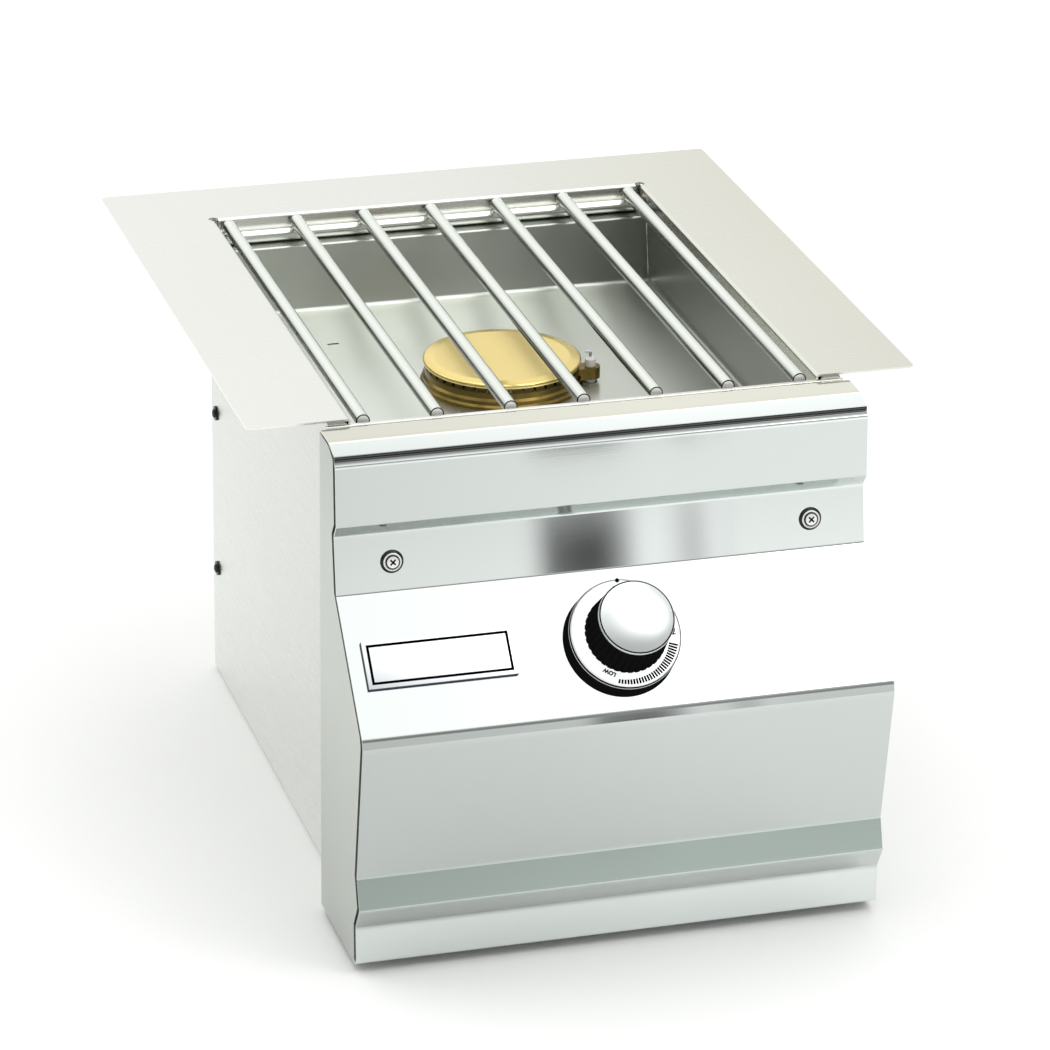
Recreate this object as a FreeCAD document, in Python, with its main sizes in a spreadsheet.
import FreeCAD, Part
import math
import os
import Sketcher
from FreeCAD import Placement, Rotation, Vector

# Built-in gas side burner for an outdoor kitchen.
# Millimetres. X is to the right, Y is to the back, Z is up, and the front panel faces -Y.
# The origin is on the ground plane under the middle of the whole unit.

SIZES = [
    ("deck_width", 386, "width of the top plate"),
    ("deck_depth", 391, "depth of the top plate, front edge to back edge"),
    ("deck_corner", 3, "radius of the top plate's outer corners"),
    ("sheet", 1.2, "thickness of the cabinet sheet"),
    ("opening_width", 269, "cooking opening, between the faces of the side lips"),
    ("opening_depth", 335, "cooking opening, front edge to the face of the back lip"),
    ("lip_radius", 2, "outer bend radius of the rolled lip"),
    ("lip_drop", 9.3, "depth of the rolled lip below the deck's top"),
    ("lip_relief", 3, "radius of the relief hole where two lips meet"),
    ("seat_gap", 0.3, "gap left between pieces that slide together or lift apart"),
    ("body_height", 298, "underside of the cabinet to the top of the deck"),
    ("flange", 12, "width of the folded flanges"),
    ("bend", 1.6, "inside bend radius of the cabinet sheets"),
    ("wall_front", 3, "front face of the inner front wall, ahead of the deck's front edge"),
    ("wall_top", 5, "top edge of the inner front wall, below the deck's top"),
    ("foot", 4, "gap under the front wall and the cheeks"),
    ("fascia_width", 305, "width of the front fascia, and over both cheeks behind it"),
    ("reveal", 1.0, "gap between the ends of the fascia's flanges and the cheeks"),
    ("cheek_setback", 5.5, "front edge of a cheek, behind the fascia's face"),
    ("cheek_drop", 2.4, "top edge of a cheek, below the fascia's ledge"),
    ("flange_clear", 8, "back panel's side flanges, clear of the base and of the pan's rails"),
    ("side_flange", 20, "depth of the back panel's side flanges"),
    ("vent_length", 46, "length of one vent slot in the base"),
    ("vent_width", 5, "width of one vent slot in the base"),
    ("vent_gap", 16, "distance between vent slots in a row"),
    ("vent_rows", 2, "number of rows of vent slots"),
    ("rod", 8, "diameter of the grid rods"),
    ("rod_edge", 8.2, "axes of the outer rods, in from the side lips"),
    ("rod_count", 7, "number of grid rods"),
    ("rod_front", 5, "front end of the rods, behind the deck's front edge"),
    ("rod_back_gap", 3, "gap between the rods' back ends and the back lip"),
    ("weld_bite", 0.6, "depth that the rods are welded into the cross rods"),
    ("cross_overhang", 1.4, "cross rod past the outer faces of the outer rods"),
    ("cross_front", 2, "front cross rod's axis, behind the rods' front ends"),
    ("cross_back", 1, "back cross rod's axis, ahead of the rods' back ends"),
    ("pan_sheet", 0.8, "thickness of the burner pan"),
    ("pan_depth", 39.8, "depth of the burner pan"),
    ("pan_front", 14, "front wall of the pan, behind the deck's front edge"),
    ("pan_back", 15, "back wall of the pan at its rim, ahead of the back lip"),
    ("pan_slope", 7, "lean of the pan's back wall"),
    ("pan_fold", 3, "inside radius between the pan's floor and walls"),
    ("pan_roll", 1.4, "outer radius between the pan's walls and flanges"),
    ("slot_side", 81, "drain slot in the pan, left of the middle"),
    ("slot_back", 254, "drain slot in the pan, behind the deck's front edge"),
    ("slot_length", 7, "length of the drain slot"),
    ("slot_width", 2, "width of the drain slot"),
    ("rail", 16, "width of the rails that carry the pan"),
    ("rail_setback", 18, "ends of the rails, inside the pan's floor"),
    ("burner_back", 170, "burner axis, behind the deck's front edge"),
    ("cap_diameter", 93, "diameter of the burner cap"),
    ("cap_rim", 2.8, "thickness of the burner cap's rim"),
    ("cap_crown", 0.8, "rise of the burner cap's crown"),
    ("cap_slope", 6.5, "width of the slope between the cap's rim and its flat top"),
    ("cap_round", 1.2, "radius of the cap's edge"),
    ("cap_spigot", 3, "depth of the ring that centres the cap"),
    ("cap_overhang", 1, "cap's rim past the port ring"),
    ("port_height", 2.6, "height of the burner's port ring above the bowl"),
    ("port_count", 40, "number of burner ports"),
    ("port_width", 1.7, "width of one burner port"),
    ("port_depth", 1.9, "depth of one burner port"),
    ("port_wall", 7, "radial thickness of the port ring"),
    ("bowl_height", 9.8, "height of the burner's brass bowl"),
    ("bowl_flare", 2.5, "growth of the bowl's radius from its rim to its foot"),
    ("bowl_foot", 1.8, "height of the bowl's straight foot"),
    ("bowl_step", 2.9, "underside of the step round the bowl"),
    ("bowl_band", 5.1, "top of the step round the bowl"),
    ("bowl_neck", 6.5, "foot of the bowl's straight rim"),
    ("step_depth", 1.25, "depth of the step round the bowl"),
    ("bowl_wall", 3.5, "wall of the bowl"),
    ("bowl_floor", 3, "floor of the bowl"),
    ("throat", 32, "bore of the burner's throat and mixer tube"),
    ("throat_wall", 3, "wall of the burner's throat"),
    ("tube_wall", 1.5, "wall of the mixer tube"),
    ("tube_bend", 42, "bend radius of the mixer tube's middle line"),
    ("tube_flange", 2.5, "thickness of the flange that holds the burner"),
    ("flange_edge", 6, "rim of the burner's flange, outside its screws"),
    ("burner_screw_ring", 28, "radius of the circle of burner screws"),
    ("igniter_side", 50.5, "igniter, right of the burner axis"),
    ("igniter_ahead", 12, "igniter, ahead of the burner axis"),
    ("ceramic", 6.4, "diameter of the igniter's ceramic"),
    ("ceramic_neck", 4.8, "diameter of the ceramic below the pan"),
    ("ceramic_round", 1.2, "chamfer on the ceramic's top"),
    ("ceramic_rise", 3, "top of the ceramic, above the port ring"),
    ("ceramic_tail", 9, "foot of the ceramic, below the pan"),
    ("lug_wall", 2.6, "wall of the lug that holds the igniter"),
    ("lug_height", 7, "height of the lug that holds the igniter"),
    ("lug_root", 5.2, "half width of the web that joins the lug to the bowl"),
    ("tip_radius", 0.8, "radius of the spark wire"),
    ("tip_rise", 3, "height of the spark wire above the ceramic"),
    ("tip_reach", 3, "reach of the spark wire towards the burner"),
    ("knob_along", 43.8, "knob axis, down the control panel from its top fold"),
    ("knob_hole", 14, "hole in the control panel"),
    ("knob_gap", 3.5, "knob skirt to the control panel"),
    ("knob_travel", 3, "travel of the knob when it is pressed"),
    ("skirt_diameter", 61, "diameter of the knob's skirt"),
    ("skirt_wall", 2.5, "wall of the knob's skirt"),
    ("dial_diameter", 62.8, "diameter of the dial plate"),
    ("dial_height", 17.4, "face of the dial plate above the control panel"),
    ("dial_plate", 2.2, "thickness of the dial plate"),
    ("dial_bevel", 1.1, "bevel round the dial plate"),
    ("grip_diameter", 45.5, "diameter of the fluted grip at its foot"),
    ("grip_taper", 2.8, "loss of the grip's diameter towards its top"),
    ("grip_height", 19, "height of the fluted grip above the dial"),
    ("flute_count", 36, "number of flutes on the grip"),
    ("flute_width", 2.4, "width of one flute"),
    ("flute_depth", 0.9, "depth of one flute"),
    ("flute_lift", 0.8, "foot of the flutes, above the dial"),
    ("hub", 8, "radius of the hub that takes the stem"),
    ("hub_lift", 1, "foot of the hub, above the skirt's foot"),
    ("hub_cap", 2, "thickness of the grip over the stem"),
    ("stem_gap", 1, "gap over the stem, and under it when the knob is pressed"),
    ("crown_rim", 1.2, "straight rim of the knob's domed crown"),
    ("crown_dome", 5, "rise of the domed crown"),
    ("crown_slope", 8, "width of the dome's lower slope"),
    ("crown_shoulder", 4, "rise of the dome's lower slope"),
    ("crown_flat", 6.4, "radius of the dome's flat middle"),
    ("crown_round", 8.5, "radius that rounds the dome"),
    ("crown_plug", 17, "radius of the crown's plug"),
    ("crown_recess", 3, "depth of the crown's plug"),
    ("stem", 8, "diameter of the valve stem"),
    ("stem_flat", 1.4, "depth of the flat on the valve stem"),
    ("stem_depth", 33, "foot of the stem's bore, behind the control panel's face"),
    ("run_gap", 0.06, "radial gap of a turning fit"),
    ("bonnet_plate", 3, "thickness of the valve's mounting plate"),
    ("bonnet_length", 8.3, "valve body behind the control panel's back"),
    ("bonnet_edge", 5, "mounting plate past the valve screws"),
    ("bonnet_half", 8, "half height of the mounting plate"),
    ("bonnet_wall", 2.4, "wall of the mounting plate's neck"),
    ("chamber", 6.6, "radius of the chamber that the collar slides in"),
    ("chamber_depth", 7, "depth of the chamber in the valve body"),
    ("collar", 1.5, "thickness of the thrust collar"),
    ("collar_drop", 2, "thrust collar at rest, behind the mounting plate"),
    ("valve_diameter", 25, "diameter of the valve body"),
    ("valve_length", 28, "length of the valve body"),
    ("valve_depth", 24, "valve outlet behind the control panel's face"),
    ("valve_screw_side", 17, "valve screws, each side of the knob axis"),
    ("port_boss", 14, "diameter of the valve's inlet and outlet bosses"),
    ("inlet_boss", 8, "valve's inlet boss past the side of the valve body"),
    ("outlet_reach", 19.5, "end of the valve's outlet boss, behind its axis"),
    ("piezo", 16, "diameter of the piezo igniter"),
    ("piezo_side", 28, "piezo igniter, right of the knob axis"),
    ("piezo_length", 42, "length of the piezo igniter"),
    ("piezo_terminal", 4, "length of the piezo igniter's terminal"),
    ("piezo_edge", 1, "mounting plate past the piezo igniter"),
    ("piezo_bevel", 1.5, "chamfer on the piezo igniter's end"),
    ("spud_flats", 12, "gas jet, across its flats"),
    ("spud_shoulder", 6, "hexagon of the gas jet that shows ahead of the tube"),
    ("spud_inset", 4, "tip of the gas jet, inside the tube"),
    ("spud_nose", 4, "radius and length of the gas jet's nose"),
    ("spud_bevel", 1, "chamfer on the gas jet's nose"),
    ("jet", 0.8, "radius of the gas jet's bore"),
    ("shutter_mouth", 9, "radius of the hole in the air shutter's front"),
    ("window_length", 10, "length of an air window in the mixer tube"),
    ("window_inset", 4, "air windows, behind the tube's front end"),
    ("window_turn", 42, "part of the tube that one air window takes, in degrees"),
    ("window_start", 24, "start of the first air window, in degrees"),
    ("tube_slack", 4, "hole in the front wall round the mixer tube"),
    ("pipe_slack", 2.5, "holes round the gas pipe and the igniter wire"),
    ("wire", 3, "diameter of the igniter wire"),
    ("wire_lead", 18, "igniter wire's first straight run"),
    ("wire_side", 8, "igniter wire's lowest corner, right of the igniter"),
    ("wire_dip", 30, "igniter wire's lowest corner, behind the deck's front edge"),
    ("wire_fall", 17, "igniter wire's lowest corner, below its start"),
    ("wire_turn", 42, "igniter wire's next corner, ahead of the insulator"),
    ("wire_lift", 16, "igniter wire's next corner, above its start"),
    ("wire_drop", 34, "igniter wire's last corner, below the insulator"),
    ("pipe", 9.5, "outside diameter of the gas supply pipe"),
    ("pipe_bore", 7.6, "bore of the gas supply pipe"),
    ("pipe_side", 76, "supply pipe, left of the middle"),
    ("pipe_bend", 24, "bend radius of the supply pipe at its ends"),
    ("pipe_sweep", 60, "bend radius where the supply pipe turns down"),
    ("pipe_tail", 40, "straight end of the supply pipe"),
    ("pipe_nut", 12, "length of a flare nut"),
    ("pipe_nut_flats", 17, "flare nut, across its flats"),
    ("inlet_drop", 250, "gas inlet, below the deck's top"),
    ("flare_thread", 15.88, "diameter of the inlet fitting's flare thread"),
    ("flare_length", 16, "length of the inlet fitting's flare thread"),
    ("flare_cone", 2.4, "cone on the flare thread's end"),
    ("inlet_shank", 7, "radius of the inlet fitting's shank"),
    ("inlet_flats", 22, "inlet fitting, across its flats"),
    ("inlet_hexagon", 6, "thickness of the inlet fitting's hexagon and of its locknut"),
    ("inlet_tail", 14, "inlet fitting's shank inside the back panel"),
    ("locknut_flats", 24, "locknut, across its flats"),
    ("screw_inset", 12.5, "side screws, ahead of the cabinet's back"),
    ("screw_drop", 122, "upper side screws, below the deck's top"),
    ("screw_pitch", 103.5, "distance between side screws"),
    ("side_head", 4.5, "radius of the side screws' flat heads"),
    ("side_head_height", 1.1, "height of the side screws' flat heads"),
    ("side_shank", 8, "side screws inside the cabinet's side"),
    ("screw_shank", 2, "radius of the screws' shanks"),
    ("screw_head", 2.2, "height of the screw heads"),
    ("screw_flats", 7, "hexagonal screw heads, across their flats"),
    ("hole_slack", 0.3, "radial slack of the screw holes"),
    ("post_side", 120.7, "fascia screws, each side of the middle"),
    ("post_drop", 71, "fascia screws, below the deck's top"),
    ("post", 10, "width across the flats of the posts behind the fascia"),
    ("post_thread", 16, "depth of the thread in the posts"),
    ("washer", 12, "diameter of the cup washers"),
    ("cup_mouth", 3.6, "radius of the cup washers' mouths"),
    ("cup_height", 1.6, "height of the cup washers"),
    ("cup_bevel", 0.9, "chamfer round the cup washers"),
    ("oval_bevel", 1, "chamfer round the fascia screws' heads"),
]

# Folds of the front fascia, seen from the side: name, distance ahead of the deck's front edge,
# distance below the deck's top, outer bend radius.
FOLDS = [
    ("flange_end", 3, 20, 0),
    ("ledge_back", 3, 3, 2),
    ("ledge_front", 21, 3, 12),
    ("nose", 36.4, 7.3, 1.6),
    ("groove", 34.2, 9.7, 1.3),
    ("shoulder", 37, 12.2, 2.4),
    ("brow", 39, 47.2, 1.6),
    ("tuck", 33.9, 54.4, 2.6),
    ("panel_top", 39, 87.6, 2),
    ("panel_foot", 95.7, 148.8, 5),
    ("chin", 97.4, 155, 6),
    ("waist", 84, 237.7, 4),
    ("lower_brow", 89.7, 256, 2),
    ("lower_tuck", 81.4, 269.8, 3),
    ("toe", 82.7, 292, 1.6),
    ("toe_end", 69, 292, 0),
]

# How far a cutter runs past what it cuts.
SPARE = 1


class Dim:
    """A length that keeps the expression it came from, so that a feature can be bound to it."""

    def __init__(self, value, text=None):
        self.value = float(value)
        self.text = repr(float(value)) if text is None else text

    def __add__(self, other):
        other = dim(other)
        return Dim(self.value + other.value, "(%s + %s)" % (self.text, other.text))

    def __sub__(self, other):
        other = dim(other)
        return Dim(self.value - other.value, "(%s - %s)" % (self.text, other.text))

    def __mul__(self, other):
        other = dim(other)
        return Dim(self.value * other.value, "(%s * %s)" % (self.text, other.text))

    def __truediv__(self, other):
        other = dim(other)
        return Dim(self.value / other.value, "(%s / %s)" % (self.text, other.text))

    def __neg__(self):
        return Dim(-self.value, "(0 - %s)" % self.text)

    def __radd__(self, other):
        return dim(other) + self

    def __rsub__(self, other):
        return dim(other) - self

    def __rmul__(self, other):
        return dim(other) * self

    def __float__(self):
        return self.value


def dim(number):
    return number if isinstance(number, Dim) else Dim(number)


def root(number):
    return Dim(math.sqrt(number.value), "sqrt(%s)" % number.text)


def slope(rise, run):
    """The angle of a slope, in degrees."""
    return Dim(math.degrees(math.atan(rise.value / run.value)), "atan(%s / %s)" % (rise.text, run.text))


doc = FreeCAD.newDocument("side_burner")
sheet = doc.addObject("Spreadsheet::Sheet", "Sizes")
for row, (alias, value, meaning) in enumerate(SIZES, 1):
    sheet.set("A%d" % row, alias)
    sheet.set("B%d" % row, str(value))
    sheet.set("C%d" % row, meaning)
    sheet.setAlias("B%d" % row, alias)
folds = doc.addObject("Spreadsheet::Sheet", "Folds")
for row, (name, *values) in enumerate(FOLDS, 1):
    folds.set("A%d" % row, name)
    for column, suffix, value in zip("BCD", ("ahead", "below", "radius"), values):
        folds.set("%s%d" % (column, row), str(value))
        folds.setAlias("%s%d" % (column, row), name + "_" + suffix)
doc.recompute()


class Cells:
    """A sheet's cells by alias."""

    def __init__(self, table):
        self.table = table

    def __getattr__(self, alias):
        return Dim(self.table.get(alias), self.table.Name + "." + alias)


S = Cells(sheet)
F = Cells(folds)
parts = []


# Helpers for features bound to the sheet

def bind(feature, prop, length):
    length = dim(length)
    feature.setExpression(prop, length.text)


def add_part(feature, label):
    feature.Label = label
    parts.append(feature)
    return feature


def new_body(label):
    body = doc.addObject("PartDesign::Body", label)
    return add_part(body, label)


def sketch_on(body, role, name, offset=None):
    """A sketch on one of the body's own origin planes, moved along that plane's normal."""
    sketch = body.newObject("Sketcher::SketchObject", name)
    plane = [item for item in body.Origin.OriginFeatures if item.Role == role][0]
    sketch.AttachmentSupport = [(plane, "")]
    sketch.MapMode = "FlatFace"
    if offset is not None:
        sketch.AttachmentOffset = Placement(Vector(0, 0, dim(offset).value), Rotation())
        sketch.setExpression("AttachmentOffset.Base.z", dim(offset).text)
    return sketch


def hold(sketch, geometry, point, across, up):
    """Fixes a point by its two distances from the sketch's origin."""
    for kind, length in (("DistanceX", dim(across)), ("DistanceY", dim(up))):
        constraint = Sketcher.Constraint(kind, -1, 1, geometry, point, length.value)
        index = sketch.addConstraint(constraint)
        sketch.setExpression("Constraints[%d]" % index, length.text)


def outline(sketch, corners):
    """A closed outline of straight lines through the corners."""
    first = sketch.GeometryCount
    corners = [(dim(across), dim(up)) for across, up in corners]
    points = [Vector(across.value, up.value, 0) for across, up in corners]
    for start, end in zip(points, points[1:] + points[:1]):
        sketch.addGeometry(Part.LineSegment(start, end), False)
    count = len(points)
    for index in range(count):
        following = first + (index + 1) % count
        sketch.addConstraint(Sketcher.Constraint("Coincident", first + index, 2, following, 1))
    for index, (across, up) in enumerate(corners):
        hold(sketch, first + index, 1, across, up)


def rectangle(sketch, left, low, right, high):
    outline(sketch, [(left, low), (right, low), (right, high), (left, high)])


def circle(sketch, across, up, radius):
    radius = dim(radius)
    centre = Vector(dim(across).value, dim(up).value, 0)
    geometry = sketch.addGeometry(Part.Circle(centre, Vector(0, 0, 1), radius.value), False)
    hold(sketch, geometry, 3, across, up)
    index = sketch.addConstraint(Sketcher.Constraint("Radius", geometry, radius.value))
    sketch.setExpression("Constraints[%d]" % index, radius.text)


def pad(body, sketch, length, reverse=False, both=False):
    feature = body.newObject("PartDesign::Pad", sketch.Name + "_pad")
    feature.Profile = sketch
    feature.Reversed = reverse
    feature.SideType = "Symmetric" if both else "One side"
    bind(feature, "Length", length)
    sketch.Visibility = False
    return feature


def pocket(body, sketch):
    """Cuts the sketch through the whole body, both ways."""
    feature = body.newObject("PartDesign::Pocket", sketch.Name + "_pocket")
    feature.Profile = sketch
    feature.Type = "ThroughAll"
    feature.SideType = "Symmetric"
    return feature


def revolve(body, sketch, groove=False):
    """Turns the sketch about its own vertical axis."""
    kind = "Groove" if groove else "Revolution"
    feature = body.newObject("PartDesign::" + kind, sketch.Name + "_turn")
    feature.Profile = sketch
    feature.ReferenceAxis = (sketch, ["V_Axis"])
    feature.Angle = 360
    return feature


def polar(body, feature, sketch, count):
    """Repeats a feature about the normal of the sketch, through its origin."""
    pattern = body.newObject("PartDesign::PolarPattern", feature.Name + "_ring")
    pattern.Originals = [feature]
    pattern.Axis = (sketch, ["N_Axis"])
    pattern.Angle = 360
    pattern.Occurrences = int(count.value)
    pattern.setExpression("Occurrences", count.text)
    body.Tip = pattern
    return pattern


def dress(body, kind, edges, length):
    """Fillets or chamfers the body's edges whose middle passes the test."""
    doc.recompute()
    base = body.Tip
    names = []
    for number, edge in enumerate(base.Shape.Edges, 1):
        middle = edge.valueAt((edge.FirstParameter + edge.LastParameter) / 2)
        if edges(edge, middle):
            names.append("Edge%d" % number)
    if not names:
        raise ValueError("no edge to dress on " + body.Name)
    feature = body.newObject("PartDesign::" + kind, body.Name + "_" + kind.lower())
    feature.Base = (base, names)
    bind(feature, "Radius" if kind == "Fillet" else "Size", length)
    body.Tip = feature
    return feature


def slab(body, role, name, draw, low, high):
    """Pads what draw sketches, from one coordinate to another along the plane's axis."""
    low, high = dim(low), dim(high)
    sketch = sketch_on(body, role, name, -high if role == "XZ_Plane" else low)
    draw(sketch)
    return pad(body, sketch, high - low)


def cut(body, role, name, draw, low, high):
    """Pockets what draw sketches, from one coordinate to another along the plane's axis."""
    low, high = dim(low), dim(high)
    sketch = sketch_on(body, role, name, -high if role == "XZ_Plane" else low)
    draw(sketch)
    feature = body.newObject("PartDesign::Pocket", name + "_pocket")
    feature.Profile = sketch
    feature.Reversed = True
    bind(feature, "Length", high - low)
    return feature


def hole(body, role, name, draw):
    """Cuts what draw sketches through the whole body, both ways."""
    sketch = sketch_on(body, role, name)
    draw(sketch)
    return pocket(body, sketch)


def turned(body, name, corners):
    """Turns an outline of radii and heights about the body's own Z axis."""
    sketch = sketch_on(body, "XZ_Plane", name)
    outline(sketch, corners)
    return revolve(body, sketch)


def place(feature, across=0, back=0, up=0, tilt=None):
    """Puts a sub-part by three distances and a tilt about X, all bound to the sheet."""
    spot = [dim(across), dim(back), dim(up)]
    tilt = dim(0) if tilt is None else dim(tilt)
    turn = Rotation(Vector(1, 0, 0), tilt.value)
    feature.Placement = Placement(Vector(*[length.value for length in spot]), turn)
    for axis, length in zip("xyz", spot):
        feature.setExpression("Placement.Base." + axis, length.text)
    if tilt.value:
        feature.setExpression("Placement.Rotation.Angle", tilt.text)
    return feature


def free_shape(label, shape, placement=None):
    """A sub-part whose shape is worked out from the sheet's values in this file."""
    feature = doc.addObject("Part::Feature", label)
    feature.Shape = shape
    if placement is not None:
        feature.Placement = placement
    return add_part(feature, label)


# Curved paths and folded sheet

def rounded(points, radii):
    """Edges of a path whose inner corners are rounded by arcs."""
    edges = []
    start = points[0]
    for index in range(1, len(points) - 1):
        corner, radius = points[index], radii[index - 1]
        before = (points[index - 1] - corner).normalize()
        after = (points[index + 1] - corner).normalize()
        half = before.getAngle(after) / 2
        if radius <= 0 or abs(half - math.pi / 2) < 1e-4:
            edges.append(Part.makeLine(start, corner))
            start = corner
            continue
        reach = radius / math.tan(half)
        bisector = (before + after).normalize()
        centre = corner + bisector * (radius / math.sin(half))
        entry, leave = corner + before * reach, corner + after * reach
        middle = centre - bisector * radius
        if (entry - start).Length > 1e-6:
            edges.append(Part.makeLine(start, entry))
        edges.append(Part.Arc(entry, middle, leave).toShape())
        start = leave
    edges.append(Part.makeLine(start, points[-1]))
    return edges


def inset(points, distance):
    """The path moved sideways by a distance, to the left of its direction in the Y-Z plane."""
    moved = []
    for index, point in enumerate(points):
        normals = []
        for one, two in ((index - 1, index), (index, index + 1)):
            if one >= 0 and two < len(points):
                along = (points[two] - points[one]).normalize()
                normals.append(Vector(0, -along.z, along.y))
        if len(normals) == 1:
            moved.append(point + normals[0] * distance)
            continue
        total = normals[0] + normals[1]
        moved.append(point + total * (2 * distance / total.dot(total)))
    return moved


def turn_side(before, corner, after):
    """1 where the path turns to its left in the Y-Z plane, -1 where it turns to its right."""
    one, two = corner - before, after - corner
    return 1 if one.y * two.z - one.z * two.y > 0 else -1


def folded_sheet(points, radii, thickness, width):
    """A sheet folded along a path in the Y-Z plane; the path is its outer face, at X = 0."""
    inner = inset(points, thickness)
    inner_radii = []
    for index, radius in enumerate(radii, 1):
        side = turn_side(points[index - 1], points[index], points[index + 1])
        inner_radii.append(max(radius - side * thickness, 0.15))
    front = rounded(points, radii)
    back = rounded(inner, inner_radii)
    caps = [Part.makeLine(points[-1], inner[-1]), Part.makeLine(inner[0], points[0])]
    wire = Part.Wire(Part.__sortEdges__(front + back + caps))
    solid = Part.Face(wire).extrude(Vector(width, 0, 0))
    solid.translate(Vector(-width / 2, 0, 0))
    return solid


def tube_along(points, radii, outer, inner=0):
    """A round tube along straight runs joined by arcs."""
    def solid(radius):
        pieces = []
        for edge in rounded(points, radii):
            start = edge.valueAt(edge.FirstParameter)
            along = edge.tangentAt(edge.FirstParameter)
            if edge.Curve.TypeId == "Part::GeomLine":
                pieces.append(Part.makeCylinder(radius, edge.Length, start, along))
                continue
            disc = Part.Face(Part.Wire(Part.makeCircle(radius, start, along)))
            turn = math.degrees(edge.LastParameter - edge.FirstParameter)
            pieces.append(disc.revolve(edge.Curve.Center, edge.Curve.Axis, turn))
        return pieces[0].fuse(pieces[1:]).removeSplitter()

    return solid(outer).cut(solid(inner)) if inner else solid(outer)


def hexagon(sketch, across, up, across_flats):
    """A hexagon about a point of the sketch."""
    corner = dim(across_flats) / math.sqrt(3)
    turns = [math.radians(60 * step) for step in range(6)]
    outline(sketch, [(across + corner * math.cos(turn), up + corner * math.sin(turn)) for turn in turns])


def near(one, two):
    return abs(float(one) - float(two)) < 0.01


# Places that several pieces share. Inside a piece that stands at the deck's datum, X is across,
# Y is the distance behind the deck's front edge and Z is the height above the deck's top.

panel_run = F.panel_foot_ahead - F.panel_top_ahead
panel_drop = F.panel_foot_below - F.panel_top_below
panel_length = root(panel_run * panel_run + panel_drop * panel_drop)
run_share = panel_run / panel_length
drop_share = panel_drop / panel_length
panel_tilt = slope(panel_drop, panel_run)
knob_axis = Vector(0, -drop_share.value, run_share.value)
knob_ahead = F.panel_top_ahead + S.knob_along * run_share
knob_below = F.panel_top_below + S.knob_along * drop_share
grip_top = S.dial_height + S.grip_height
crown_radius = (S.grip_diameter - S.grip_taper) / 2
front_reach = knob_ahead + (grip_top + S.crown_rim) * drop_share + crown_radius * run_share
front_edge = (front_reach - S.deck_depth) / 2
floor_line = -S.body_height

open_half = S.opening_width / 2
side_in = open_half + S.sheet + S.seat_gap
side_out = side_in + S.sheet
back_in = S.opening_depth + S.sheet + S.seat_gap
back_out = back_in + S.sheet
wall_face = -S.wall_front
wall_back = S.sheet - S.wall_front
fascia_half = S.fascia_width / 2
wall_half = fascia_half - S.sheet
shut_z = S.foot - S.body_height

pan_rim = S.weld_bite - S.rod * 2 - S.seat_gap
pan_floor = pan_rim - S.pan_depth
pan_under = pan_floor - S.pan_sheet
pan_out = side_in - S.seat_gap
pan_in = pan_out - S.pan_sheet
pan_back_rim = S.opening_depth - S.pan_back
pan_back_floor = pan_back_rim - S.pan_slope
rod_back = S.opening_depth - S.rod_back_gap

ring_foot = pan_floor + S.bowl_height
ring_top = ring_foot + S.port_height
ring_radius = S.cap_diameter / 2 - S.cap_overhang
bowl_inner = ring_radius - S.bowl_wall
throat_radius = S.throat / 2
tube_outer = throat_radius + S.tube_wall
flange_under = pan_under - S.tube_flange

valve_ahead = knob_ahead - S.valve_depth * drop_share
tube_below = knob_below + S.valve_depth * run_share
tube_z = -tube_below
spud_foot = S.outlet_reach - valve_ahead
tube_mouth = spud_foot + S.spud_shoulder
spud_tip = tube_mouth + S.spud_inset
inlet_reach = S.valve_diameter / 2 + S.inlet_boss
collar_top = -S.sheet - S.bonnet_plate - S.collar_drop
ceramic_top = ring_top + S.ceramic_rise
ceramic_foot = pan_under - S.ceramic_tail
rod_pitch = (S.opening_width - S.rod_edge * 2) / (S.rod_count - 1)
screw_heights = [-S.screw_drop, -S.screw_drop - S.screw_pitch]

band_share = (S.post_drop - F.tuck_below) / (F.panel_top_below - F.tuck_below)
band_ahead = F.tuck_ahead + (F.panel_top_ahead - F.tuck_ahead) * band_share
band_tilt = slope(F.panel_top_below - F.tuck_below, F.panel_top_ahead - F.tuck_ahead)


def at_deck(feature):
    """Stands a piece at the middle of the deck's front edge, level with the deck's top."""
    return place(feature, 0, front_edge, S.body_height)


def at_burner(feature):
    """Stands a piece on the burner axis, level with the deck's top."""
    return place(feature, 0, front_edge + S.burner_back, S.body_height)


def at_knob(feature):
    """Stands a piece where the knob axis leaves the control panel, with Z along that axis."""
    return place(feature, 0, front_edge - knob_ahead, S.body_height - knob_below, panel_tilt)


def at_band(feature):
    """Stands a piece on the short band of the fascia that takes its screws."""
    return place(feature, 0, front_edge - band_ahead, S.body_height - S.post_drop, band_tilt)


def at_side(feature, across, below):
    """Turns a piece's Z axis straight back, at a distance below the deck."""
    return place(feature, across, front_edge, S.body_height - below, Dim(-90, "-90"))


# Cabinet

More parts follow.
